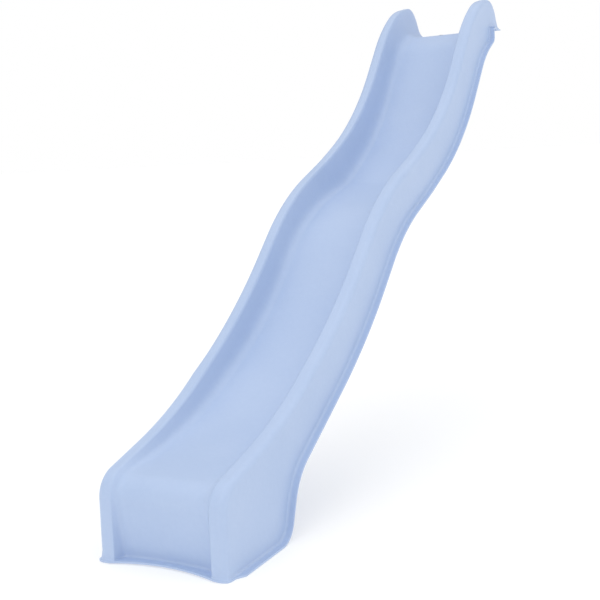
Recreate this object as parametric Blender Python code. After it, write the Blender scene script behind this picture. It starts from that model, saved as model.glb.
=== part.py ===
"""Wave slide: one moulded chute with its deck screws, screw caps and water inlet.

Frame: metres, +Z up, +Y from the foot to the platform, +X to the right of someone
looking up the chute. The origin is on the ground, under the middle of the slide.
"""
import math

import bmesh
import bpy
from mathutils import Vector

# ---- Driving sizes ---------------------------------------------------------------------
DECK_Z = 1.500          # top of the platform that the lip lies on
WALL = 0.005            # thickness of the moulded wall
TIP_Y = 2.394           # rear end of the lip and ears, from the front of the foot
DECK_EDGE_Y = 2.255     # front face of the platform, which the notch flange meets
FLARE = 0.007           # how far the edge flange stands out in front of the foot
MIDDLE_Y = (TIP_Y - FLARE) / 2

LIP_Z = DECK_Z + WALL   # upper face of the lip
EAR_Z = LIP_Z + 0.016   # upper face of the flange beside and behind the ears
FLANGE_BEND = 0.008     # radius of the bend from the wall into the edge flange
FLANGE_OUT = 0.023      # width of the edge flange beside the walls
FLANGE_GROWS = 0.024    # length over which it grows to that width behind the front
FLANGE_HOLLOW = 0.025   # how far its edge curves back in the middle of the front
FRONT_REACH = 0.003     # the bend is tighter where the front wall meets it
FLANGE_TAIL = 0.005     # its width at the rear tip of the ears
GROUND_Z = WALL + FLANGE_BEND   # where the foot's walls turn into the flange
NOTCH_Y = DECK_EDGE_Y - WALL - FLANGE_BEND  # where the outer wall turns out at the platform
NOTCH_Z = EAR_Z + FLANGE_BEND   # where it turns out above the platform

# Half section, from the middle outwards
BED_FLAT = 0.108        # flat part of the bed
FRONT_FLAT = 0.138      # flat part of the front wall, at the ground
BED_EDGE = 0.146        # where the hollow corner of the bed meets the inner wall
WALL_TOP = 0.157        # top of the leaning inner wall
RAIL_IN = 0.165         # the rail's flat top starts
RAIL_OUT = 0.181        # the rail's flat top ends
SHOULDER = 0.2030       # outer wall starts, below the rounded shoulder
WALL_FOOT = 0.2050      # outer wall ends, a little wider for draft
SHOULDER_DROP = 0.021   # height of the rounded shoulder
FRONT_BOW = 0.012       # extra hollow in the middle of the front wall, at the ground
ARCH = 0.005            # how far the middle of the front edge is lifted off the ground
ARCH_HEIGHT = 0.150     # height and depth of the part of the foot that the lift reaches
ARCH_DEPTH = 0.120
EAR_NARROWS = 0.023     # how much narrower the bed's flat part is between the ears
EAR_START = 1.950       # where it starts to narrow
EAR_RUN = 0.240         # length over which it narrows
CORNER_SHARE = 0.38     # share of the rail's height that the bed's hollow corner takes
TAIL_SHARE = 0.85       # the same at the rear edge of the ears
TAIL_NARROWS = 0.028    # how much narrower the flat part is there
TAIL_START = 2.330      # where the corner starts to open out
TAIL_RUN = 0.046        # length over which it does

# Side view. Each row is one corner that the rail top, the bed and the lower edge of the
# outer wall share: (y, z, length of the curve on each side of the corner).
CORNERS = [
    # rail top               bed                       lower edge                    steps
    ((0.000, GROUND_Z, 0),   (0.034, GROUND_Z, 0),     (0.030, GROUND_Z, 0),         0),
    ((0.010, 0.230, 0.055),  (0.015, 0.221, 0.070),    (0.288, GROUND_Z, 0.040),     7),
    ((0.355, 0.330, 0.170),  (0.385, 0.280, 0.170),    (0.350, 0.177, 0.070),        6),
    ((0.760, 0.570, 0.210),  (0.815, 0.495, 0.200),    (0.842, 0.463, 0.220),        5),
    ((1.110, 0.900, 0.170),  (1.155, 0.830, 0.170),    (1.184, 0.780, 0.140),        6),
    ((1.415, 1.020, 0.040),  (1.500, 0.925, 0.030),    (1.469, 0.897, 0.040),        3),
    ((1.730, 1.165, 0.250),  (1.800, 1.090, 0.200),    (1.813, 1.056, 0.250),        6),
    ((2.035, 1.535, 0.100),  (2.100, 1.455, 0.040),    (2.125, 1.413, 0.080),        4),
    ((2.165, 1.617, 0.050),  (2.190, LIP_Z, 0.020),    (NOTCH_Y, 1.471, 0.012),      4),
    ((2.308, 1.645, 0.042),  (2.300, LIP_Z, 0.030),    (NOTCH_Y, NOTCH_Z, 0.016),    7),
    ((2.356, 1.592, 0.028),  (2.348, LIP_Z, 0.012),    (2.325, NOTCH_Z, 0.012),      3),
    ((2.389, EAR_Z, 0.005),  (2.376, LIP_Z, 0.008),    (2.372, NOTCH_Z, 0.010),      3),
    ((TIP_Y, EAR_Z, 0),      (TIP_Y, LIP_Z, 0),        (TIP_Y, EAR_Z, 0),            0),
]
DECK_CORNER = 9         # corner of the lower edge above the platform's front
LONG_STEP = 0.12        # longest straight step along the rail top

# Fittings
SCREW_Y = 2.325
SCREW_X = {"left": -0.070, "middle": 0.0, "right": 0.070}
SCREW_R = 0.0025
SCREW_LENGTH = 0.045
SCREW_HEAD_R = 0.0048
SCREW_HEAD_H = 0.0032
SCREW_HOLE_R = 0.0035
WASHER_R = 0.0065
WASHER_H = 0.0012
SEAT_R = 0.0105
SEAT_FLOOR_H = 0.0012
SEAT_RIM_H = 0.0045
CAP_R = 0.0120
CAP_SIDE_H = 0.0055
CAP_DOME_H = 0.0040
CAP_WALL = 0.0011
NOZZLE_Y = 2.231
NOZZLE_HOLE_R = 0.0080
NOZZLE_R = 0.0077
NOZZLE_FLANGE_R = 0.0115
NOZZLE_FLANGE_H = 0.0022
NOZZLE_BORE_R = 0.0040
NOZZLE_LENGTH = 0.030
SEAL_R = 0.0110
SEAL_H = 0.0015
NUT_R = 0.0125
NUT_H = 0.0070
TAIL_LENGTH = 0.032
GAP = 0.0003            # between pieces that touch
CUTTER_LENGTH = 0.05

COLOURS = {
    "chute_plastic": ((0.49, 0.60, 0.83, 1.0), 0.42, 0.0),
    "zinc_steel": ((0.62, 0.63, 0.65, 1.0), 0.35, 1.0),
    "cap_plastic": ((0.40, 0.51, 0.76, 1.0), 0.38, 0.0),
    "inlet_plastic": ((0.05, 0.05, 0.055, 1.0), 0.45, 0.0),
    "seal_rubber": ((0.03, 0.03, 0.03, 1.0), 0.80, 0.0),
    "brass": ((0.78, 0.57, 0.27, 1.0), 0.30, 1.0),
}


# ---- Scene and materials ---------------------------------------------------------------
def clear_scene():
    for item in list(bpy.data.objects):
        bpy.data.objects.remove(item, do_unlink=True)


def material(slot, node):
    colour, roughness, metallic = COLOURS[slot]
    made = bpy.data.materials.new(f"{slot}.{node}")
    made.use_nodes = True
    shader = made.node_tree.nodes["Principled BSDF"]
    shader.inputs["Base Color"].default_value = colour
    shader.inputs["Roughness"].default_value = roughness
    shader.inputs["Metallic"].default_value = metallic
    made.diffuse_color = colour
    return made


def add_object(name, bm, slot, place=(0.0, 0.0, 0.0)):
    mesh = bpy.data.meshes.new(name)
    bm.to_mesh(mesh)
    bm.free()
    mesh.shade_smooth()
    mesh.set_sharp_from_angle(angle=math.radians(35))
    mesh.materials.append(material(slot, name))
    made = bpy.data.objects.new(name, mesh)
    made.location = (place[0], place[1] - MIDDLE_Y, place[2])
    bpy.context.collection.objects.link(made)
    return made


# ---- Side view of the chute ------------------------------------------------------------
def round_corner(before, corner, after, reach, steps):
    """Points of the arc that leaves the lines at `reach` from the corner."""
    back = (before - corner).normalized()
    ahead = (after - corner).normalized()
    start = corner + back * reach
    end = corner + ahead * reach
    weight = math.sqrt(max(0.0, (1 - back.dot(ahead)) / 2))
    points = []
    for step in range(steps + 1):
        t = step / steps
        parts = ((1 - t) ** 2, 2 * t * (1 - t) * weight, t ** 2)
        total = sum(parts)
        points.append((start * parts[0] + corner * parts[1] + end * parts[2]) / total)
    return points


def side_paths():
    """Rail top, bed and lower edge as matching lists of (y, z), and each corner's index."""
    columns = [[Vector(row[k][:2]) for row in CORNERS] for k in range(3)]
    paths = [[column[0]] for column in columns]
    middles = [0]
    for i in range(1, len(CORNERS)):
        last = i == len(CORNERS) - 1
        arcs = []
        for k, column in enumerate(columns):
            if last:
                arcs.append([column[i]])
            else:
                reach = CORNERS[i][k][2]
                arcs.append(round_corner(column[i - 1], column[i], column[i + 1], reach, CORNERS[i][3]))
        length = (arcs[0][0] - paths[0][-1]).length
        pieces = max(1, math.ceil(length / LONG_STEP))
        for path, arc in zip(paths, arcs):
            start = path[-1]
            path.extend(start.lerp(arc[0], n / pieces) for n in range(1, pieces))
        middles.append(len(paths[0]) + len(arcs[0]) // 2)
        for path, arc in zip(paths, arcs):
            path.extend(arc)
    return paths, middles


# ---- Cross section ---------------------------------------------------------------------
def smooth(t):
    t = min(1.0, max(0.0, t))
    return t * t * (3 - 2 * t)


def arc_steps(count):
    return [math.radians(90) * n / count for n in range(1, count + 1)]


def inner_profile(flat, corner_share):
    """(x, share of the rail's height) from the middle of the bed to the rail's flat top."""
    profile = [(0.0, 0.0), (flat * 0.5, 0.0), (flat, 0.0)]
    top_share = 0.91
    for angle in arc_steps(4):
        x = flat + (BED_EDGE - flat) * math.sin(angle)
        profile.append((x, corner_share * (1 - math.cos(angle))))
    profile.append((WALL_TOP, top_share))
    for angle in arc_steps(3):
        x = RAIL_IN - (RAIL_IN - WALL_TOP) * math.cos(angle)
        profile.append((x, top_share + (1 - top_share) * math.sin(angle)))
    return profile


def section(rail, bed, low, front):
    """Half section through three side-view points; `front` is 1 at the foot's front edge."""
    points = []
    bow = FRONT_BOW * front
    ear = smooth((bed.x - EAR_START) / EAR_RUN)
    tail = smooth((bed.x - TAIL_START) / TAIL_RUN)
    flat = BED_FLAT + (FRONT_FLAT - BED_FLAT) * front - EAR_NARROWS * ear - TAIL_NARROWS * tail
    for x, share in inner_profile(flat, CORNER_SHARE + (TAIL_SHARE - CORNER_SHARE) * tail):
        spot = bed.lerp(rail, share)
        hollow = bow * (1 - share) * (1 - (x / RAIL_IN) ** 2)
        points.append(Vector((x, spot.x + hollow, spot.y)))
    down = low - rail
    height = down.length
    drop = min(SHOULDER_DROP, height * 0.4)
    down = down.normalized() if height > 1e-6 else Vector((0.0, 0.0))
    points.append(Vector((RAIL_OUT, rail.x, rail.y)))
    for angle in arc_steps(4):
        x = RAIL_OUT + (SHOULDER - RAIL_OUT) * math.sin(angle)
        spot = rail + down * drop * (1 - math.cos(angle))
        points.append(Vector((x, spot.x, spot.y)))
    points.append(Vector((WALL_FOOT, low.x, low.y)))
    return points


def flange_rows(place, down, out, width, bend, reach):
    """Points of the edge flange leaving the wall's lower edge at `place`."""
    rows = []
    reach = min(reach, width * 0.8)
    for angle in arc_steps(3):
        rows.append(place + down * bend * math.sin(angle) + out * reach * (1 - math.cos(angle)))
    rows.append(place + down * bend + out * width)
    return rows


def front_flange(vert, along):
    """Direction, width and bend length of the flange at a point of the foot's front edge."""
    if vert.co.x < RAIL_IN:
        edge = FLANGE_HOLLOW * (1 - (vert.co.x / RAIL_IN) ** 2) - FLARE
        reach = FRONT_REACH + (FLANGE_BEND - FRONT_REACH) * smooth(vert.co.x / RAIL_IN)
        return Vector((0.0, -1.0, 0.0)), vert.co.y - edge, reach
    return Vector((along.y, -along.x, 0.0)), FLARE, FLANGE_BEND


def side_flange(vert, along, deck):
    """Its down direction, width and bend at a point of the outer wall's lower edge."""
    down = Vector((0.0, along.z, -along.y))
    behind = vert.co.y - CORNERS[0][2][0]
    width = FLARE + (FLANGE_OUT - FLARE) * smooth(behind / FLANGE_GROWS)
    bend = FLANGE_BEND
    if deck:
        share = smooth((vert.co.y - DECK_EDGE_Y) / (TIP_Y - DECK_EDGE_Y))
        width += (FLANGE_TAIL - FLANGE_OUT) * share
        bend = min(FLANGE_BEND, vert.co.z - EAR_Z)
        down = Vector((0.0, 0.0, -1.0)) if share > 0.02 else down
    return down, width, bend


def lifted(point):
    """The point raised by the shallow arch under the middle of the foot's front edge."""
    side = max(0.0, 1 - (point.x / WALL_FOOT) ** 2)
    near = (1 - smooth(point.y / ARCH_DEPTH)) * (1 - smooth(point.z / ARCH_HEIGHT))
    return Vector((point.x, point.y, point.z + ARCH * side * near))


def chute_sheet():
    """The chute's whole outer face: half of it, mirrored."""
    (rail, bed, low), middles = side_paths()
    bm = bmesh.new()
    grid = []
    for i, (a, b, c) in enumerate(zip(rail, bed, low)):
        front = 1 - smooth(i / middles[1])
        grid.append([bm.verts.new(point) for point in section(a, b, c, front)])
    for near, far in zip(grid, grid[1:]):
        for k in range(len(near) - 1):
            bm.faces.new((near[k], near[k + 1], far[k + 1], far[k]))

    # Edge flange: round the front, along the ground, up the slope and over the platform
    front_count = len(grid[0])
    ring = grid[0] + [row[-1] for row in grid[1:]]
    deck_start = front_count + middles[DECK_CORNER] - 1
    edge_rows = []
    for n, vert in enumerate(ring):
        before = ring[max(n - 1, 0)].co
        after = ring[min(n + 1, len(ring) - 1)].co
        along = (after - before).normalized()
        if n < front_count - 1:
            out, width, reach = front_flange(vert, along)
            points = flange_rows(vert.co, Vector((0.0, 0.0, -1.0)), out, width, FLANGE_BEND, reach)
        else:
            down, width, bend = side_flange(vert, along, n > deck_start)
            points = flange_rows(vert.co, down, Vector((1.0, 0.0, 0.0)), width, bend, FLANGE_BEND)
        edge_rows.append([vert] + [bm.verts.new(point) for point in points])
    for near, far in zip(edge_rows, edge_rows[1:]):
        for k in range(len(near) - 1):
            bm.faces.new((near[k], near[k + 1], far[k + 1], far[k]))

    for vert in bm.verts:
        vert.co = lifted(vert.co)
    everything = bm.verts[:] + bm.edges[:] + bm.faces[:]
    bmesh.ops.mirror(bm, geom=everything, axis="X", merge_dist=0.00005)
    bmesh.ops.recalc_face_normals(bm, faces=bm.faces[:])
    flattest = max(bm.faces, key=lambda face: abs(face.normal.z) * face.calc_area())
    if flattest.normal.z < 0:
        bmesh.ops.reverse_faces(bm, faces=bm.faces[:])
    return bm


# ---- Simple solids ---------------------------------------------------------------------
def turned(profile, segments=24):
    """Closed solid from (radius, z) points, listed up the outside and down the inside."""
    bm = bmesh.new()
    rings = []
    for n in range(segments):
        angle = 2 * math.pi * n / segments
        turn = Vector((math.cos(angle), math.sin(angle), 0.0))
        rings.append([(turn * r) + Vector((0, 0, z)) for r, z in profile])
    cache = {}

    def vert(n, k):
        r = profile[k][0]
        key = ("axis", k) if r == 0 else (n % segments, k)
        if key not in cache:
            cache[key] = bm.verts.new(rings[n % segments][k])
        return cache[key]

    for n in range(segments):
        for k in range(len(profile)):
            m = (k + 1) % len(profile)
            corners = [vert(n, k), vert(n + 1, k), vert(n + 1, m), vert(n, m)]
            unique = list(dict.fromkeys(corners))
            if len(unique) > 2:
                bm.faces.new(unique)
    bmesh.ops.recalc_face_normals(bm, faces=bm.faces[:])
    return bm


def hexagon(radius, bore, low, high):
    """Hexagonal nut with a round bore."""
    bm = bmesh.new()
    sides = 24
    loops = []
    for z in (low, high):
        outer = []
        inner = []
        for n in range(sides):
            angle = 2 * math.pi * n / sides
            local = (angle + math.pi / 6) % (math.pi / 3) - math.pi / 6
            reach = radius * math.cos(math.pi / 6) / math.cos(local)
            outer.append(bm.verts.new((reach * math.cos(angle), reach * math.sin(angle), z)))
            inner.append(bm.verts.new((bore * math.cos(angle), bore * math.sin(angle), z)))
        loops.append((outer, inner))
    (low_out, low_in), (high_out, high_in) = loops
    for n in range(sides):
        m = (n + 1) % sides
        bm.faces.new((low_out[n], low_out[m], high_out[m], high_out[n]))
        bm.faces.new((low_in[n], high_in[n], high_in[m], low_in[m]))
        bm.faces.new((high_out[n], high_out[m], high_in[m], high_in[n]))
        bm.faces.new((low_out[n], low_in[n], low_in[m], low_out[m]))
    bmesh.ops.recalc_face_normals(bm, faces=bm.faces[:])
    return bm


def cutter(radius, place):
    """Short cylinder that a hole is cut with."""
    bm = bmesh.new()
    size = {"radius1": radius, "radius2": radius, "depth": CUTTER_LENGTH}
    bmesh.ops.create_cone(bm, cap_ends=True, segments=24, **size)
    return add_object("cutter", bm, "zinc_steel", place)


# ---- Pieces ----------------------------------------------------------------------------
def make_chute():
    chute = add_object("chute_shell", chute_sheet(), "chute_plastic")
    wall = chute.modifiers.new("wall", "SOLIDIFY")
    wall.thickness = WALL
    wall.offset = -1.0
    wall.use_even_offset = True
    cutters = [cutter(SCREW_HOLE_R, (x, SCREW_Y, LIP_Z)) for x in SCREW_X.values()]
    cutters.append(cutter(NOZZLE_HOLE_R, (0.0, NOZZLE_Y, LIP_Z)))
    for tool in cutters:
        hole = chute.modifiers.new("hole", "BOOLEAN")
        hole.operation = "DIFFERENCE"
        hole.solver = "EXACT"
        hole.object = tool

    # The foot stands flat: the wall's underside dips a little at the recess corners
    bpy.context.view_layer.update()
    shaped = chute.evaluated_get(bpy.context.evaluated_depsgraph_get())
    finished = bpy.data.meshes.new_from_object(shaped)
    for vert in finished.vertices:
        vert.co.z = max(vert.co.z, 0.0)
    chute.modifiers.clear()
    chute.data = finished
    for tool in cutters:
        bpy.data.objects.remove(tool, do_unlink=True)


def make_screw_set(side, x):
    seat_z = LIP_Z + GAP
    seat_top = seat_z + SEAT_FLOOR_H
    seat = [
        (SEAT_R, seat_z), (SEAT_R, seat_z + SEAT_RIM_H), (SEAT_R - 0.0015, seat_z + SEAT_RIM_H),
        (SEAT_R - 0.0015, seat_top), (SCREW_HOLE_R, seat_top), (SCREW_HOLE_R, seat_z),
    ]
    add_object(f"cap_seat_{side}", turned(seat), "cap_plastic", (x, SCREW_Y, 0.0))

    washer_z = seat_top + GAP
    washer_top = washer_z + WASHER_H
    bore = SCREW_R + GAP
    washer = [(WASHER_R, washer_z), (WASHER_R, washer_top), (bore, washer_top), (bore, washer_z)]
    add_object(f"lip_washer_{side}", turned(washer), "zinc_steel", (x, SCREW_Y, 0.0))

    head_z = washer_top + GAP
    tip_z = head_z - SCREW_LENGTH
    screw = [
        (0.0, tip_z), (SCREW_R, tip_z + 0.007), (SCREW_R, head_z), (SCREW_HEAD_R, head_z),
        (SCREW_HEAD_R, head_z + SCREW_HEAD_H * 0.4), (SCREW_HEAD_R * 0.7, head_z + SCREW_HEAD_H * 0.9),
        (0.0, head_z + SCREW_HEAD_H),
    ]
    add_object(f"lip_screw_{side}", turned(screw), "zinc_steel", (x, SCREW_Y, 0.0))

    inside = SEAT_R + GAP
    side_top = seat_z + CAP_SIDE_H
    angles = [0.0] + arc_steps(5)
    rise = CAP_DOME_H - CAP_WALL
    outer = [(CAP_R * math.cos(angle), side_top + CAP_DOME_H * math.sin(angle)) for angle in angles]
    inner = [(inside * math.cos(angle), side_top + rise * math.sin(angle)) for angle in angles]
    outer[-1] = (0.0, side_top + CAP_DOME_H)
    inner[-1] = (0.0, side_top + rise)
    cap = [(inside, seat_z + GAP), (CAP_R, seat_z + GAP)] + outer + inner[::-1]
    add_object(f"snap_cap_{side}", turned(cap), "cap_plastic", (x, SCREW_Y, 0.0))


def make_water_inlet():
    place = (0.0, NOZZLE_Y, 0.0)
    top = LIP_Z + GAP
    flange_top = top + NOZZLE_FLANGE_H
    tip = flange_top - NOZZLE_LENGTH
    nozzle = [
        (NOZZLE_R, tip), (NOZZLE_R, top), (NOZZLE_FLANGE_R, top), (NOZZLE_FLANGE_R, top + 0.0008),
        (NOZZLE_FLANGE_R - 0.003, flange_top), (NOZZLE_BORE_R, flange_top), (NOZZLE_BORE_R, tip),
    ]
    add_object("water_nozzle", turned(nozzle), "inlet_plastic", place)

    seal_top = DECK_Z - GAP
    bore = NOZZLE_R + GAP
    seal = [(SEAL_R, seal_top - SEAL_H), (SEAL_R, seal_top), (bore, seal_top), (bore, seal_top - SEAL_H)]
    add_object("nozzle_seal", turned(seal), "seal_rubber", place)

    nut_top = seal_top - SEAL_H - GAP
    add_object("nozzle_nut", hexagon(NUT_R, bore, nut_top - NUT_H, nut_top), "brass", place)

    tail_top = nut_top - NUT_H - GAP
    shoulder = tip - GAP
    tail = [
        (0.0105, shoulder - 0.006), (0.0105, tail_top), (bore, tail_top), (bore, shoulder),
        (NOZZLE_BORE_R, shoulder), (NOZZLE_BORE_R, shoulder - TAIL_LENGTH),
        (0.0060, shoulder - TAIL_LENGTH), (0.0072, shoulder - TAIL_LENGTH + 0.007),
        (0.0060, shoulder - TAIL_LENGTH + 0.008), (0.0072, shoulder - TAIL_LENGTH + 0.015),
        (0.0060, shoulder - TAIL_LENGTH + 0.016), (0.0060, shoulder - 0.008),
    ]
    add_object("hose_tail", turned(tail), "brass", place)


def main():
    clear_scene()
    make_chute()
    for side, x in SCREW_X.items():
        make_screw_set(side, x)
    make_water_inlet()


main()
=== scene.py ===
"""Wave slide: the looks of its chute, deck screws, snap caps and water inlet.

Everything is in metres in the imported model's frame: +Z up, +Y from the foot to the
platform, +X to the right of someone looking up the chute.
"""
import math

import bmesh
import bpy
import numpy as np
from mathutils import Matrix, Vector


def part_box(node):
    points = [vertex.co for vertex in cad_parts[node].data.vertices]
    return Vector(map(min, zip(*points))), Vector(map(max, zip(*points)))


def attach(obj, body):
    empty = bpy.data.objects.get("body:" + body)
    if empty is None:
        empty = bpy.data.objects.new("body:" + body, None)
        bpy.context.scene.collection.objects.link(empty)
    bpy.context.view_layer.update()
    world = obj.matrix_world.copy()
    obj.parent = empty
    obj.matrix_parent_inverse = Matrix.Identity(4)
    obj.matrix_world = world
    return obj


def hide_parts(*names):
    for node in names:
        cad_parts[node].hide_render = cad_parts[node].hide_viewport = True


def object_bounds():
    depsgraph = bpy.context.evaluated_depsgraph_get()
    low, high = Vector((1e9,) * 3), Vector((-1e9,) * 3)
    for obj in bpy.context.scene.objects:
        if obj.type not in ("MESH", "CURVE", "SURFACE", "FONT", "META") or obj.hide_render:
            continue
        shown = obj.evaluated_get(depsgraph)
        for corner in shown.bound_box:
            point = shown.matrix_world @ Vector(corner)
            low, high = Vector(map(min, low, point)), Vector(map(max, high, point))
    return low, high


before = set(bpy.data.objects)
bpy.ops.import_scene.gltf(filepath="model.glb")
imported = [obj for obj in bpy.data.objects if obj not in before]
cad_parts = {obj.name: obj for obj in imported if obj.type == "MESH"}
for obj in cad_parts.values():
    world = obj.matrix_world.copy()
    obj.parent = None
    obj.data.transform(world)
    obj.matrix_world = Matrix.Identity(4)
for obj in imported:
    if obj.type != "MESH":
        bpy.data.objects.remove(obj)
cad_low, cad_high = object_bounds()

# ---- Chute sizes -----------------------------------------------------------------------
FLARE = 0.007           # the edge flange in front of the foot
FRONT_Y = cad_low.y + FLARE     # front of the foot's rails
LIP_Z = 1.505           # upper face of the lip
WALL = 0.005            # thickness of the moulded wall
TIP_Y = 2.3932          # rear end of the lip, where the rounding of its edge starts
DECK_EDGE_Y = 2.255     # front face of the platform
EAR_Z = LIP_Z + 0.016   # flange beside and behind the ears
FLANGE_BEND = 0.008     # radius of the bend from the wall into the flange
FLANGE_OUT = 0.023      # width of the flange beside the walls
FLANGE_GROWS = 0.024    # length over which it grows to that width behind the front
FLANGE_HOLLOW = 0.025   # how far its edge curves back in the middle of the front
FRONT_REACH = 0.003     # the bend is tighter where the front wall meets it
FLANGE_TAIL = 0.005     # width of the flange at the rear tip of the ears
BEND_SHARE = 0.8        # most of the flange's width that its bend may take
SHELF_STEPS = (0.4, 0.8, 1.0)   # points across its flat part, as shares of it
LEVEL_SHARE = 0.02      # share of the way along the platform where the flange turns level
GROUND_Z = WALL + FLANGE_BEND   # where the foot's walls turn into the flange
NOTCH_Y = DECK_EDGE_Y - WALL - FLANGE_BEND  # where the outer wall turns out at the platform
NOTCH_Z = EAR_Z + FLANGE_BEND   # where it turns out above the platform
EDGE_ROUND = 0.0008     # rounding of the trimmed edge

# Half section, from the middle outwards
BED_FLAT = 0.108        # flat part of the bed
FRONT_FLAT = 0.138      # flat part of the front wall, at the ground
BED_CORNER = 0.1381     # where the leaning inner wall would meet the bed
WALL_LEAN = 0.0208      # how far it leans out over the rail's height
CORNER_TOP = 0.45       # share of the height where the bed's hollow corner ends
WALL_END = 0.88         # share of the height where the rail's inner rounding starts
BED_CURVE = 1.2         # fullness of the hollow corner's curve
RAIL_CURVE = 0.75       # fullness of the rail's inner rounding
RAIL_IN = 0.165         # the rail's flat top starts
RAIL_OUT = 0.181        # the rail's flat top ends
SHOULDER = 0.2030       # outer wall starts, below the rounded shoulder
WALL_FOOT = 0.2050      # outer wall ends, a little wider for draft
SHOULDER_DROP = 0.021   # height of the rounded shoulder
SHOULDER_SHARE = 0.4    # most of the outer wall's height that it may take
FRONT_BOW = 0.012       # extra hollow in the middle of the front wall, at the ground
FRONT_CORNER = 0.1455   # the front wall's corners at the ground are tighter and steeper
FRONT_LEAN = 0.0105
ARCH = 0.005            # lift of the front edge's middle, and the part of the foot it reaches
ARCH_HEIGHT = 0.150
ARCH_DEPTH = 0.120
EAR_NARROWS = 0.023     # how much narrower the bed's flat part is between the ears
EAR_START = 1.950       # where it starts to narrow
EAR_RUN = 0.240         # length over which it narrows
TAIL_TOP = 0.80         # the hollow corner's share at the rear edge of the ears
TAIL_NARROWS = 0.028    # how much narrower the flat part is there
TAIL_START = 2.330      # where the corner starts to open out
TAIL_RUN = 0.046        # length over which it does

# Side view: (y, z, length of the curve on each side of the corner), and the curve's steps
CORNERS = [
    # rail top               bed                       lower edge                    steps
    ((0.000, GROUND_Z, 0),   (0.034, GROUND_Z, 0),     (0.030, GROUND_Z, 0),         0),
    ((0.010, 0.230, 0.055),  (0.015, 0.221, 0.070),    (0.288, GROUND_Z, 0.040),     24),
    ((0.355, 0.330, 0.170),  (0.385, 0.280, 0.170),    (0.350, 0.177, 0.070),        18),
    ((0.760, 0.570, 0.210),  (0.815, 0.495, 0.200),    (0.842, 0.463, 0.220),        18),
    ((1.110, 0.900, 0.170),  (1.155, 0.830, 0.170),    (1.184, 0.780, 0.140),        20),
    ((1.415, 1.020, 0.040),  (1.500, 0.925, 0.030),    (1.469, 0.897, 0.040),        8),
    ((1.730, 1.165, 0.250),  (1.800, 1.090, 0.200),    (1.813, 1.056, 0.250),        20),
    ((2.035, 1.535, 0.100),  (2.100, 1.455, 0.040),    (2.125, 1.413, 0.080),        12),
    ((2.165, 1.617, 0.050),  (2.190, LIP_Z, 0.020),    (NOTCH_Y, 1.471, 0.012),      12),
    ((2.308, 1.645, 0.042),  (2.300, LIP_Z, 0.030),    (NOTCH_Y, NOTCH_Z, 0.016),    20),
    ((2.356, 1.592, 0.028),  (2.348, LIP_Z, 0.012),    (2.325, NOTCH_Z, 0.012),      10),
    ((2.389, EAR_Z, 0.005),  (2.376, LIP_Z, 0.008),    (2.372, NOTCH_Z, 0.010),      8),
    ((TIP_Y, EAR_Z, 0),      (TIP_Y, LIP_Z, 0),        (TIP_Y, EAR_Z, 0),            0),
]
DECK_CORNER = 9
STRAIGHT_STEP = 0.020


# ---- Curves ----------------------------------------------------------------------------
def conic(start, corner, end, weight, steps):
    """Curve from start to end that leaves both along the lines to the corner.

    (1-t)^2 start + 2 t (1-t) w corner + t^2 end, over the sum of those three factors.
    """
    t = np.linspace(0.0, 1.0, steps + 1)[:, None]
    parts = ((1 - t) ** 2, 2 * t * (1 - t) * weight, t ** 2)
    total = parts[0] + parts[1] + parts[2]
    return (parts[0] * start + parts[1] * corner + parts[2] * end) / total


def unit(vectors):
    length = np.linalg.norm(vectors, axis=-1, keepdims=True)
    return vectors / np.maximum(length, 1e-12)


def smooth(t):
    """0 below 0, 1 above 1, and 3 t^2 - 2 t^3 between."""
    t = np.clip(t, 0.0, 1.0)
    return t * t * (3 - 2 * t)


def side_paths():
    """Rail top, bed and lower edge as matching rows of (y, z), and each corner's row."""
    columns = [np.array([row[k][:2] for row in CORNERS]) for k in range(3)]
    paths = [[column[:1]] for column in columns]
    count = 1
    middles = [0]
    for i in range(1, len(CORNERS)):
        steps = CORNERS[i][3]
        arcs = []
        for k, column in enumerate(columns):
            corner = column[i]
            if steps == 0:
                arcs.append(corner[None, :])
                continue
            back = unit(column[i - 1] - corner)
            ahead = unit(column[i + 1] - corner)
            reach = CORNERS[i][k][2]
            weight = math.sqrt(max(0.0, (1 - float(back @ ahead)) / 2))
            arcs.append(conic(corner + back * reach, corner, corner + ahead * reach, weight, steps))
        length = np.linalg.norm(arcs[0][0] - paths[0][-1][-1])
        pieces = max(1, math.ceil(length / STRAIGHT_STEP))
        share = (np.arange(1, pieces) / pieces)[:, None]
        for path, arc in zip(paths, arcs):
            start = path[-1][-1]
            path.append(start + (arc[0] - start) * share)
            path.append(arc)
        middles.append(count + pieces - 1 + len(arcs[0]) // 2)
        count += pieces - 1 + len(arcs[0])
    return [np.concatenate(path) for path in paths], middles


# ---- Meshes ----------------------------------------------------------------------------
def quads(index):
    """Corner indices of the faces between the rows and columns of an index grid."""
    return np.stack([index[:-1, :-1], index[:-1, 1:], index[1:, 1:], index[1:, :-1]], -1).reshape(-1, 4)


def mesh_object(name, points, faces, sharp=50):
    """A smooth-shaded object at the origin from point and four-cornered face arrays."""
    mesh = bpy.data.meshes.new(name)
    mesh.from_pydata(points.tolist(), [], faces.tolist())
    mesh.validate()
    mesh.shade_smooth()
    mesh.set_sharp_from_angle(angle=math.radians(sharp))
    made = bpy.data.objects.new(name, mesh)
    bpy.context.collection.objects.link(made)
    return made


def normals_of(points, faces):
    """Unit normal at each point: the sum of its faces' cross products of diagonals."""
    corners = points[faces]
    crossed = unit(np.cross(corners[:, 2] - corners[:, 0], corners[:, 3] - corners[:, 1]))
    total = np.zeros_like(points)
    for k in range(4):
        np.add.at(total, faces[:, k], crossed)
    return unit(total)


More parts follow.
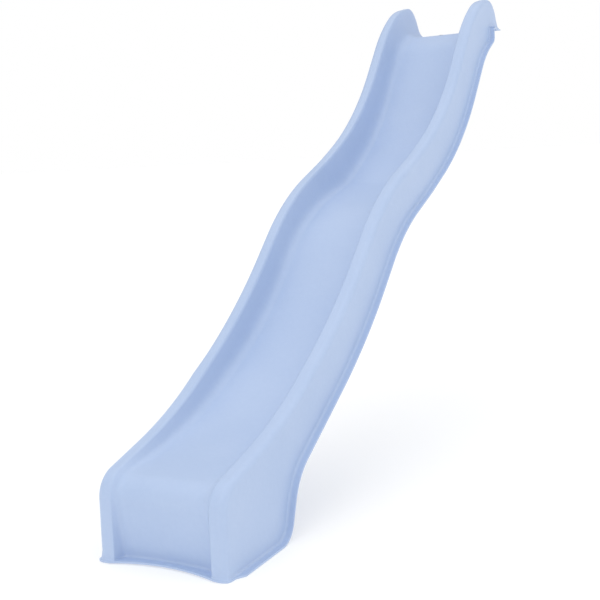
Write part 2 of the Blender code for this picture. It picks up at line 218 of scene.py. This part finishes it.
# ---- Chute -----------------------------------------------------------------------------
def half_section(paths, front):
    """Right half of the chute's outer face, one row of points for each row of the paths.

    Across, x follows the section while (y, z) runs from the bed to the rail top by the
    section's share of the rail's height, then down towards the lower edge.
    """
    rail, bed, low = (path[:, None, :] for path in paths)
    front = front[:, None]
    ear = smooth((bed[..., 0] - EAR_START) / EAR_RUN)
    tail = smooth((bed[..., 0] - TAIL_START) / TAIL_RUN)
    flat = BED_FLAT + (FRONT_FLAT - BED_FLAT) * front - EAR_NARROWS * ear - TAIL_NARROWS * tail
    top = CORNER_TOP + (TAIL_TOP - CORNER_TOP) * tail
    foot = BED_CORNER + (FRONT_CORNER - BED_CORNER) * front
    lean = WALL_LEAN + (FRONT_LEAN - WALL_LEAN) * front

    # (x, share of height): flat bed, hollow corner, leaning wall, rounded rail edge, rail top
    across = np.linspace(0.0, 1.0, 9)[:-1]
    spans = [(flat * across, np.zeros_like(flat * across))]
    t = np.linspace(0.0, 1.0, 15)
    parts = ((1 - t) ** 2, 2 * BED_CURVE * t * (1 - t), t ** 2)
    total = sum(parts)
    corner_end = foot + lean * top
    spans.append(((flat * parts[0] + foot * parts[1] + corner_end * parts[2]) / total,
                  top * parts[2] / total))
    t = np.linspace(0.0, 1.0, 8)[1:-1]
    share = top + (WALL_END - top) * t
    spans.append((foot + lean * share, share))
    t = np.linspace(0.0, 1.0, 9)
    parts = ((1 - t) ** 2, 2 * RAIL_CURVE * t * (1 - t), t ** 2)
    total = sum(parts)
    spans.append((((foot + lean * WALL_END) * parts[0] + (foot + lean) * parts[1]
                   + RAIL_IN * parts[2]) / total,
                  ((WALL_END * parts[0] + parts[1] + parts[2]) / total)[None, :] + 0 * flat))
    x = np.concatenate([span[0] for span in spans], axis=1)
    share = np.concatenate([span[1] for span in spans], axis=1)
    spot = bed + (rail - bed) * share[..., None]
    hollow = FRONT_BOW * front * (1 - share) * (1 - (x / RAIL_IN) ** 2)
    inner = np.stack([x, spot[..., 0] + hollow, spot[..., 1]], -1)

    # Rail top, rounded shoulder and outer wall
    down = low - rail
    height = np.linalg.norm(down, axis=-1, keepdims=True)
    drop = np.minimum(SHOULDER_DROP, height * SHOULDER_SHARE)
    down = down / np.maximum(height, 1e-6)
    top_x = RAIL_IN + (RAIL_OUT - RAIL_IN) * np.linspace(0.0, 1.0, 5)[1:]
    angle = np.linspace(0.0, math.pi / 2, 13)[1:]
    turned_x = RAIL_OUT + (SHOULDER - RAIL_OUT) * np.sin(angle)
    turned = rail + down * drop * (1 - np.cos(angle))[None, :, None]
    wall = np.linspace(0.0, 1.0, 8)[1:]
    wall_x = SHOULDER + (WALL_FOOT - SHOULDER) * wall
    walls = rail + down * (drop + (height - drop) * wall[None, :, None])
    outer_x = np.concatenate([top_x, turned_x, wall_x])
    outer = np.concatenate([rail + 0 * top_x[None, :, None], turned, walls], axis=1)
    outer = np.concatenate([outer_x[None, :, None] + 0 * outer[..., :1], outer], axis=-1)
    return np.concatenate([inner, outer], axis=1)


def edge_flange(grid, deck_row):
    """Right half of the flange round the lower edge, as rows of points leading outwards.

    From each point of the edge: a quarter of an ellipse, `bend` down and `reach` out, then
    flat to its width.
    """
    ring = np.concatenate([grid[0], grid[1:, -1]])
    front_count = len(grid[0])
    padded = np.concatenate([ring[:1], ring, ring[-1:]])
    along = unit(padded[2:] - padded[:-2])
    x, y, z = ring.T
    at_front = np.arange(len(ring)) < front_count - 1
    at_middle = at_front & (x < RAIL_IN)
    at_deck = np.arange(len(ring)) > front_count - 1 + deck_row

    # Beside the walls: straight out, and down at a right angle to the edge
    zero = np.zeros_like(x)
    down = np.stack([zero, along[:, 2], -along[:, 1]], -1)
    out = np.stack([zero + 1, zero, zero], -1)
    width = FLARE + (FLANGE_OUT - FLARE) * smooth((y - ring[front_count - 1, 1]) / FLANGE_GROWS)
    bend = zero + FLANGE_BEND
    share = smooth((y - DECK_EDGE_Y) / (TIP_Y - DECK_EDGE_Y))
    width = np.where(at_deck, width + (FLANGE_TAIL - FLANGE_OUT) * share, width)
    bend = np.where(at_deck, np.minimum(FLANGE_BEND, z - EAR_Z), bend)
    level = at_front | (at_deck & (share > LEVEL_SHARE))
    down[level] = (0.0, 0.0, -1.0)

    # Round the front: at a right angle to the edge, and straight ahead in the middle
    out[at_front] = np.stack([along[:, 1], -along[:, 0], zero], -1)[at_front]
    out[at_middle] = (0.0, -1.0, 0.0)
    front_edge = FLANGE_HOLLOW * (1 - (x / RAIL_IN) ** 2) - FLARE
    width = np.where(at_front, FLARE, width)
    width = np.where(at_middle, y - front_edge, width)

    tight = FRONT_REACH + (FLANGE_BEND - FRONT_REACH) * smooth(x / RAIL_IN)
    reach = np.minimum(np.where(at_middle, tight, FLANGE_BEND), width * BEND_SHARE)[:, None, None]
    place, down, out = ring[:, None, :], down[:, None, :], out[:, None, :]
    width, bend = width[:, None, None], bend[:, None, None]
    angle = np.linspace(0.0, math.pi / 2, 9)[1:][None, :, None]
    turn = place + down * bend * np.sin(angle) + out * reach * (1 - np.cos(angle))
    flat = np.array(SHELF_STEPS)[None, :, None]
    shelf = place + down * bend + out * (reach + (width - EDGE_ROUND - reach) * flat)
    return np.concatenate([turn, shelf], axis=1)


def lifted(points):
    """Points raised by the arch under the middle of the foot's front edge.

    The lift is ARCH (1 - (x / WALL_FOOT)^2), fading out upwards and rearwards.
    """
    x, y, z = points.T
    near = (1 - smooth(y / ARCH_DEPTH)) * (1 - smooth(z / ARCH_HEIGHT))
    lift = ARCH * np.maximum(0.0, 1 - (x / WALL_FOOT) ** 2) * near
    return np.stack([x, y, z + lift], -1)


def mirrored(rows):
    """Rows of points from the middle to the right, continued as a mirror image to the left."""
    return np.concatenate([rows[:, :0:-1] * (-1, 1, 1), rows], axis=1)


def chute_surface():
    """Points and faces of the whole chute as a closed wall of even thickness.

    The outer sheet is the mirrored section grid and its flange; the inner sheet lies one
    wall thickness along the normals below it; a rounded rim joins their open edges.
    """
    paths, middles = side_paths()
    front = 1 - smooth(np.arange(len(paths[0])) / middles[1])
    half = half_section(paths, front)
    flange = edge_flange(half, middles[DECK_CORNER])
    grid = mirrored(half)
    rows, columns = grid.shape[:2]
    grid_at = np.arange(rows * columns).reshape(rows, columns)
    strip = np.concatenate([flange[:0:-1] * (-1, 1, 1), flange])
    strip_at = rows * columns + np.arange(strip.shape[0] * strip.shape[1]).reshape(strip.shape[:2])
    ring_at = np.concatenate([grid_at[:0:-1, 0], grid_at[0], grid_at[1:, -1]])
    strip_at = np.concatenate([ring_at[:, None], strip_at], axis=1)
    sheet = lifted(np.concatenate([grid.reshape(-1, 3), strip.reshape(-1, 3)]))
    faces = np.concatenate([quads(grid_at), quads(strip_at)])

    normals = normals_of(sheet, faces)
    inside = sheet - normals * WALL
    count = len(sheet)
    edge = np.concatenate([strip_at[:, -1], strip_at[-1, -2:0:-1], grid_at[-1, ::-1], strip_at[0, 1:-1]])
    along = unit(np.roll(sheet[edge], -1, axis=0) - np.roll(sheet[edge], 1, axis=0))
    out = unit(np.cross(along, normals[edge]))
    angle = np.linspace(0.0, math.pi / 2, 4)[1:]
    reach = EDGE_ROUND * np.concatenate([np.sin(angle), np.sin(angle)[::-1]])
    depth = np.concatenate([EDGE_ROUND * (1 - np.cos(angle)), WALL - EDGE_ROUND * (1 - np.cos(angle))[::-1]])
    rim = (sheet[edge][:, None] + out[:, None] * reach[None, :, None]
           - normals[edge][:, None] * depth[None, :, None])
    rim_at = 2 * count + np.arange(rim.shape[0] * rim.shape[1]).reshape(rim.shape[:2])
    rim_at = np.concatenate([edge[:, None], rim_at, edge[:, None] + count], axis=1)
    rim_at = np.concatenate([rim_at, rim_at[:1]])
    points = np.concatenate([sheet, inside, rim.reshape(-1, 3)])
    points[:, 1] += FRONT_Y
    return points, np.concatenate([faces, faces[:, ::-1] + count, quads(rim_at)])


# ---- Fittings --------------------------------------------------------------------------
SIDES = ("left", "middle", "right")
SCREW_HOLE_R = 0.0035
NOZZLE_HOLE_R = 0.0080
ROUND_STEPS = 72        # points round a turned piece


def softened(profile, cut=0.0003, steps=3):
    """A closed outline with each corner replaced by a curve that starts `cut` before it.

    The cut is at most 0.4 of the shorter side at the corner, and 0 on the axis.
    """
    profile = np.array(profile)
    before = np.roll(profile, 1, axis=0) - profile
    after = np.roll(profile, -1, axis=0) - profile
    shorter = np.minimum(np.linalg.norm(before, axis=1), np.linalg.norm(after, axis=1))
    reach = np.where(profile[:, 0] > 0, np.minimum(cut, 0.4 * shorter), 0.0)[:, None]
    start = profile + unit(before) * reach
    end = profile + unit(after) * reach
    t = np.linspace(0.0, 1.0, steps + 1)[None, :, None]
    curve = (1 - t) ** 2 * start[:, None] + 2 * t * (1 - t) * profile[:, None] + t ** 2 * end[:, None]
    return curve.reshape(-1, 2)


def turned(profile, centre, radius_at=None, steps=ROUND_STEPS):
    """Points and faces of an outline of (radius, z) turned about the vertical through centre.

    radius_at gives the radius as a function of the outline's radius, z and the angle.
    """
    profile = np.array(profile)
    angle = np.linspace(0.0, 2 * math.pi, steps + 1)[:, None]
    r = profile[None, :, 0] + 0 * angle
    z = profile[None, :, 1] + 0 * angle
    if radius_at:
        r = radius_at(r, z, angle)
    points = np.stack([centre[0] + r * np.cos(angle), centre[1] + r * np.sin(angle), z], -1)
    at = np.arange(points[..., 0].size).reshape(points.shape[:2])
    at = np.concatenate([at, at[:, :1]], axis=1)
    return points.reshape(-1, 3), quads(at)


def welded(name, points, faces, sharp=40):
    """An object from point and face arrays, with its seam and poles closed."""
    made = mesh_object(name, points, faces, sharp)
    bm = bmesh.new()
    bm.from_mesh(made.data)
    bmesh.ops.remove_doubles(bm, verts=bm.verts[:], dist=1e-6)
    bmesh.ops.dissolve_degenerate(bm, edges=bm.edges[:], dist=1e-6)
    bmesh.ops.recalc_face_normals(bm, faces=bm.faces[:])
    bm.to_mesh(made.data)
    bm.free()
    made.data.shade_smooth()
    made.data.set_sharp_from_angle(angle=math.radians(sharp))
    return made


def finished(piece, node, slot):
    """The piece stands for its CAD node, moves with the object and gets its material."""
    piece.data.materials.clear()
    piece.data.materials.append(FINISHES[slot])
    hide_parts(node)
    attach(piece, "root")


def bored(piece, spots):
    """Cuts a vertical hole through the lip at each (x, y, radius)."""
    tools = []
    for x, y, radius in spots:
        outline = [(0.0, LIP_Z - 0.02), (radius, LIP_Z - 0.02), (radius, LIP_Z + 0.02), (0.0, LIP_Z + 0.02)]
        tool = welded("drill", *turned(outline, (x, y)))
        hole = piece.modifiers.new("hole", "BOOLEAN")
        hole.operation = "DIFFERENCE"
        hole.solver = "EXACT"
        hole.object = tool
        tools.append(tool)
    bpy.context.view_layer.update()
    shaped = piece.evaluated_get(bpy.context.evaluated_depsgraph_get())
    drilled = bpy.data.meshes.new_from_object(shaped)
    piece.modifiers.clear()
    piece.data = drilled
    for tool in tools:
        bpy.data.objects.remove(tool, do_unlink=True)


def thread(r, z, angle, pitch, depth):
    """Radius less the thread's depth, plus a ridge that climbs one pitch in each turn."""
    climb = (z / pitch - angle / (2 * math.pi)) % 1.0
    ridge = np.clip(1.25 - np.abs(climb - 0.5) * 3.2, 0.0, 1.0)
    return np.maximum(r - depth * (1 - ridge), 0.0)


def middle(node):
    """A CAD node's (x, y) axis, its lowest and its highest z."""
    low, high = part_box(node)
    return ((low.x + high.x) / 2, (low.y + high.y) / 2), low.z, high.z


def cap_seat(node):
    centre, low, high = middle(node)
    wall, floor = 0.0090, low + 0.0012
    outline = [(0.0105, low), (0.0105, high), (wall, high), (wall, floor),
               (SCREW_HOLE_R, floor), (SCREW_HOLE_R, low)]
    finished(welded(node + "_turned", *turned(softened(outline), centre)), node, "cap_plastic")


def lip_washer(node):
    centre, low, high = middle(node)
    outline = [(0.0065, low), (0.0065, high), (0.0028, high), (0.0028, low)]
    finished(welded(node + "_turned", *turned(softened(outline, 0.0002), centre)), node, "zinc_steel")


def lip_screw(node):
    """Pan head with a six-lobed recess, and a threaded shank that tapers over 7 mm."""
    centre, low, high = middle(node)
    shank, pitch = 0.0025, 0.0016
    under_head = high - 0.0032
    rows = np.arange(low, under_head - 0.003, pitch / 8)
    outline = [(max(1e-5, min(shank, shank * (z - low) / 0.007)), z) for z in rows]
    outline[0] = (0.0, low)
    head = [(shank, under_head), (0.0048, under_head), (0.0048, under_head + 0.0013),
            (0.0034, high - 0.0003), (0.0018, high),
            (0.0016, under_head + 0.0010), (0.0, under_head + 0.0008)]
    outline = outline + [(shank, under_head - 0.0028)] + head

    def radius_at(r, z, angle):
        lobed = np.where((r < 0.00181) & (z > under_head), r * (1 - 0.12 * np.cos(6 * angle)), r)
        return np.where(z < under_head - 0.003, thread(r, z, angle, pitch, 0.0006), lobed)

    finished(welded(node + "_turned", *turned(outline, centre, radius_at, 48), 55), node, "zinc_steel")


def snap_cap(node):
    """Straight skirt and low dome, hollow below, with a rounded lower edge."""
    centre, low, high = middle(node)
    outer_r, inner_r, side, thick = 0.0120, 0.0108, high - 0.0040, 0.0011
    angle = np.linspace(0.0, math.pi / 2, 15)
    outer = np.stack([outer_r * np.cos(angle), side + (high - side) * np.sin(angle)], -1)
    inner = np.stack([inner_r * np.cos(angle), side + (high - thick - side) * np.sin(angle)], -1)
    outer[-1, 0] = inner[-1, 0] = 0.0
    foot = [(inner_r, low), (inner_r + 0.0003, low), (outer_r - 0.0003, low), (outer_r, low + 0.0003)]
    outline = np.concatenate([foot, outer, inner[::-1]])
    finished(welded(node + "_turned", *turned(outline, centre)), node, "cap_plastic")


def water_nozzle(node):
    """Threaded tube with a flange dished towards its bore."""
    centre, low, high = middle(node)
    under = high - 0.0022
    rows = np.arange(low + 0.001, under - 0.002, 0.0015 / 8)
    outline = [(0.0072, low)] + [(0.0077, z) for z in rows] + [
        (0.0077, under), (0.0115, under), (0.0115, under + 0.0008), (0.0105, high - 0.0002),
        (0.0085, high), (0.0062, high - 0.0003), (0.0045, high - 0.0010),
        (0.0040, high - 0.0020), (0.0040, low)]

    def radius_at(r, z, angle):
        cut = thread(r, z, angle, 0.0015, 0.0005)
        return np.where((r > 0.0070) & (z < under - 0.002), cut, r)

    finished(welded(node + "_turned", *turned(outline, centre, radius_at)), node, "inlet_plastic")


def nozzle_seal(node):
    centre, low, high = middle(node)
    outline = [(0.0110, low), (0.0110, high), (0.0080, high), (0.0080, low)]
    finished(welded(node + "_turned", *turned(softened(outline, 0.0005), centre)), node, "seal_rubber")


def nozzle_nut(node):
    """Six flats, cut round by a cone at both ends: the smaller of the two radii."""
    centre, low, high = middle(node)
    outline = softened([
        (0.0113, low), (0.0125, low + 0.0007), (0.0125, high - 0.0007), (0.0113, high),
        (0.0083, high), (0.0080, high - 0.0004), (0.0080, low + 0.0004), (0.0083, low)], 0.0001)

    def radius_at(r, z, angle):
        local = (angle + math.pi / 6) % (math.pi / 3) - math.pi / 6
        flat = 0.0125 * math.cos(math.pi / 6) / np.cos(local)
        return np.where(r > 0.0100, np.minimum(r, flat), r)

    finished(welded(node + "_turned", *turned(outline, centre, radius_at, 144), 30), node, "brass")


def hose_tail(node):
    """Knurled collar above a barbed tail."""
    centre, low, high = middle(node)
    shoulder = low + 0.032
    outline = softened([
        (0.0060, low), (0.0072, low + 0.007), (0.0060, low + 0.0082), (0.0072, low + 0.015),
        (0.0060, low + 0.0162), (0.0060, shoulder - 0.008), (0.0090, shoulder - 0.006),
        (0.0105, shoulder - 0.0055), (0.0105, high), (0.0080, high), (0.0080, shoulder),
        (0.0040, shoulder), (0.0040, low)], 0.0003)

    def radius_at(r, z, angle):
        grooves = 0.00025 * (0.5 - 0.5 * np.cos(36 * angle)) ** 2
        return np.where((r > 0.0100) & (z > shoulder - 0.004) & (z < high - 0.0010), r - grooves, r)

    finished(welded(node + "_turned", *turned(outline, centre, radius_at, 144)), node, "brass")


# ---- Materials -------------------------------------------------------------------------
class Value:
    """A socket in a node tree; + - * on it add Math nodes."""

    def __init__(self, nodes, socket):
        self.nodes = nodes
        self.socket = socket

    def maths(self, operation, first, second):
        return self.nodes.node("ShaderNodeMath", {"operation": operation}, {0: first, 1: second})

    def __add__(self, other):
        return self.maths("ADD", self, other)

    def __sub__(self, other):
        return self.maths("SUBTRACT", self, other)

    def __rsub__(self, other):
        return self.maths("SUBTRACT", other, self)

    def __mul__(self, other):
        return self.maths("MULTIPLY", self, other)

    __radd__ = __add__
    __rmul__ = __mul__


class Nodes:
    """Adds nodes to the tree of a material or of the world."""

    def __init__(self, owner):
        owner.use_nodes = True
        self.tree = owner.node_tree

    def feed(self, socket, value):
        if isinstance(value, Value):
            self.tree.links.new(value.socket, socket)
        else:
            socket.default_value = value

    def node(self, kind, settings=None, sockets=None, out=0):
        """Adds a node: its settings first, then its sockets' values or links."""
        made = self.tree.nodes.new(kind)
        for setting, value in (settings or {}).items():
            setattr(made, setting, value)
        for socket, value in (sockets or {}).items():
            self.feed(made.inputs[socket], value)
        return Value(self, made.outputs[out])

    def ramp(self, value, low, high):
        """0 where the value is below low, 1 above high, and straight between."""
        sockets = {"Value": value, "From Min": low, "From Max": high}
        return self.node("ShaderNodeMapRange", {}, sockets)


class Finish(Nodes):
    """A material for one finish, made of nodes round its own shader."""

    def __init__(self, name, **constants):
        self.material = bpy.data.materials.new(name)
        super().__init__(self.material)
        self.shader = self.tree.nodes["Principled BSDF"]
        for socket, value in constants.items():
            self.feed(self.shader.inputs[socket.replace("_", " ")], value)
        self.place = self.node("ShaderNodeTexCoord", out="Object")

    def stretched(self, scale):
        return self.node("ShaderNodeMapping", {}, {"Vector": self.place, "Scale": scale})

    def noise(self, scale, detail=2.0, rough=0.5, place=None):
        """Soft random pattern between 0 and 1, with `scale` patches to the metre."""
        sockets = {"Vector": place or self.place, "Scale": scale, "Detail": detail, "Roughness": rough}
        return self.node("ShaderNodeTexNoise", {}, sockets)

    def mixed(self, share, first, second):
        """Colour that goes from the first to the second with the share."""
        return self.node("ShaderNodeMix", {"data_type": "RGBA"}, {0: share, 6: first, 7: second}, out=2)

    def bumped(self, height, depth):
        """Small relief: a height from 0 to 1 stands for `depth` metres."""
        normal = self.node("ShaderNodeBump", {}, {"Height": height, "Distance": depth, "Strength": 1.0})
        self.feed(self.shader.inputs["Normal"], normal)

    def sets(self, colour=None, roughness=None):
        if colour:
            self.feed(self.shader.inputs["Base Color"], colour)
        if roughness:
            self.feed(self.shader.inputs["Roughness"], roughness)


BLUE_DEEP = (0.412, 0.524, 0.744, 1.0)
BLUE_PALE = (0.450, 0.558, 0.768, 1.0)


def chute_plastic():
    """Pale blue polyethylene: soft gloss, cloudy colour, fine grain, faint rub lines."""
    finish = Finish("chute_plastic", IOR=1.51)
    clouds = finish.noise(5.0, 3.0)
    mottle = finish.noise(75.0, 4.0, 0.6)
    grain = finish.noise(520.0, 2.0)
    waves = finish.noise(14.0, 1.0)
    rub = finish.noise(1.0, 3.0, 0.6, finish.stretched((310.0, 2.5, 2.5)))
    share = finish.ramp(clouds * 0.55 + mottle * 0.45, 0.30, 0.70)
    colour = finish.mixed(share, BLUE_DEEP, BLUE_PALE)
    finish.sets(colour, 0.40 + mottle * 0.12 - finish.ramp(rub, 0.55, 0.75) * 0.06)
    finish.bumped(waves * 0.55 + mottle * 0.30 + grain * 0.10 + rub * 0.05, 0.0010)
    return finish.material


def cap_plastic():
    """The same plastic in a deeper blue, with a fine spark-eroded grain."""
    finish = Finish("cap_plastic", IOR=1.50)
    clouds = finish.noise(140.0, 3.0)
    grain = finish.noise(1900.0, 2.0)
    finish.sets(finish.mixed(clouds, (0.26, 0.38, 0.68, 1.0), (0.30, 0.42, 0.71, 1.0)), 0.34 + grain * 0.16)
    finish.bumped(grain, 0.00005)
    return finish.material


def zinc_steel():
    """Bright zinc plate: cloudy blue-grey with dull specks."""
    finish = Finish("zinc_steel", Metallic=1.0)
    clouds = finish.noise(420.0, 4.0)
    specks = finish.ramp(finish.noise(2600.0, 2.0), 0.62, 0.75)
    colour = finish.mixed(clouds, (0.58, 0.60, 0.64, 1.0), (0.70, 0.69, 0.66, 1.0))
    finish.sets(finish.mixed(specks, colour, (0.40, 0.40, 0.40, 1.0)), 0.26 + clouds * 0.14 + specks * 0.2)
    finish.bumped(clouds, 0.00003)
    return finish.material


def inlet_plastic():
    """Black nylon with a slightly greyed, grained surface."""
    finish = Finish("inlet_plastic")
    clouds = finish.noise(260.0, 3.0)
    grain = finish.noise(2200.0, 2.0)
    colour = finish.mixed(clouds, (0.030, 0.031, 0.034, 1.0), (0.060, 0.061, 0.066, 1.0))
    finish.sets(colour, 0.40 + grain * 0.18)
    finish.bumped(grain, 0.00004)
    return finish.material


def seal_rubber():
    """Matt black rubber with a dusty bloom."""
    finish = Finish("seal_rubber")
    bloom = finish.noise(600.0, 4.0)
    colour = finish.mixed(bloom, (0.018, 0.018, 0.019, 1.0), (0.055, 0.053, 0.050, 1.0))
    finish.sets(colour, 0.78 + bloom * 0.14)
    finish.bumped(bloom, 0.00006)
    return finish.material


def brass():
    """Turned brass, going brown in patches, with fine tool rings."""
    finish = Finish("brass", Metallic=1.0)
    patches = finish.ramp(finish.noise(230.0, 4.0), 0.40, 0.72)
    rings = finish.noise(1.0, 2.0, 0.5, finish.stretched((20.0, 20.0, 5200.0)))
    finish.sets(finish.mixed(patches, (0.78, 0.58, 0.28, 1.0), (0.50, 0.34, 0.17, 1.0)),
                0.22 + patches * 0.16 + rings * 0.10)
    finish.bumped(rings, 0.00003)
    return finish.material


FINISHES = {
    "chute_plastic": chute_plastic(),
    "cap_plastic": cap_plastic(),
    "zinc_steel": zinc_steel(),
    "inlet_plastic": inlet_plastic(),
    "seal_rubber": seal_rubber(),
    "brass": brass(),
}

# ---- Assembly --------------------------------------------------------------------------
chute = mesh_object("chute_wall", *chute_surface())
spots = [(*middle("cap_seat_" + side)[0], SCREW_HOLE_R) for side in SIDES]
bored(chute, spots + [(*middle("water_nozzle")[0], NOZZLE_HOLE_R)])
chute.data.shade_smooth()
chute.data.set_sharp_from_angle(angle=math.radians(50))
finished(chute, "chute_shell", "chute_plastic")
for side in SIDES:
    cap_seat("cap_seat_" + side)
    lip_washer("lip_washer_" + side)
    lip_screw("lip_screw_" + side)
    snap_cap("snap_cap_" + side)
water_nozzle("water_nozzle")
nozzle_seal("nozzle_seal")
nozzle_nut("nozzle_nut")
hose_tail("hose_tail")


# ---- Floor, light and camera -----------------------------------------------------------
TABLE_GLOW = 0.42       # the floor's own light
FLOOR_GAP = 0.0005      # how far the floor lies below the slide, so the two don't coincide
WALL_DIM = 0.46         # how much weaker the room is halfway up than at the horizon
CEILING_GAIN = 0.77     # how much brighter the ceiling is than that


def pale_floor():
    """Pale floor with a glow of its own, so that it is white and the shadow on it faint."""
    white = (1.0, 1.0, 1.0, 1.0)
    finish = Finish("pale_floor", Roughness=0.9, Emission_Color=white, Emission_Strength=TABLE_GLOW)
    finish.sets(finish.mixed(finish.noise(3.0, 2.0), (0.60, 0.60, 0.60, 1.0), (0.62, 0.62, 0.62, 1.0)))
    reach = 60.0
    corners = np.array([(-1, -1), (1, -1), (1, 1), (-1, 1)]) * reach
    points = np.concatenate([corners, np.full((4, 1), -FLOOR_GAP)], axis=1)
    floor = mesh_object("floor", points, np.array([[0, 1, 2, 3]]))
    floor.data.materials.append(finish.material)


def white_room():
    """White at the horizon, weaker halfway up, and a bright ceiling."""
    sky = bpy.data.worlds.new("white_room")
    nodes = Nodes(sky)
    direction = nodes.node("ShaderNodeTexCoord", out="Generated")
    height = nodes.node("ShaderNodeSeparateXYZ", {}, {"Vector": direction}, out="Z")
    light = 1.0 - nodes.ramp(height, 0.28, 0.42) * WALL_DIM + nodes.ramp(height, 0.62, 0.78) * CEILING_GAIN
    background = nodes.tree.nodes["Background"]
    background.inputs["Color"].default_value = (1.0, 1.0, 1.0, 1.0)
    nodes.feed(background.inputs["Strength"], light)
    bpy.context.scene.world = sky


def soft_light(name, size, power, place, aim):
    lamp = bpy.data.lights.new(name, "AREA")
    lamp.shape = "SQUARE"
    lamp.size = size
    lamp.energy = power
    holder = bpy.data.objects.new(name, lamp)
    holder.location = place
    holder.rotation_euler = (Vector(aim) - Vector(place)).to_track_quat("-Z", "Y").to_euler()
    holder.visible_camera = False
    bpy.context.collection.objects.link(holder)


def studio():
    pale_floor()
    white_room()
    scene = bpy.context.scene
    scene.view_settings.view_transform = "Standard"
    soft_light("front_light", 4.0, 37.0, (0.0, -5.1, 4.0), (0.0, 0.0, 0.8))
    soft_light("right_light", 4.0, 32.0, (5.1, 0.0, 4.0), (0.0, 0.0, 0.8))

    lens = bpy.data.cameras.new("camera")
    lens.sensor_width = 36.0
    lens.lens = 62.375
    lens.shift_y = -0.010894
    camera = bpy.data.objects.new("camera", lens)
    camera.matrix_world = (
        Matrix.Translation((1.59280, -3.27047, 1.08468))
        @ Matrix.Rotation(math.radians(28.61834), 4, "Z")
        @ Matrix.Rotation(math.radians(90.0 - 8.19680), 4, "X")
        @ Matrix.Rotation(math.radians(-3.29677), 4, "Z")
    )
    bpy.context.collection.objects.link(camera)
    scene.camera = camera


studio()
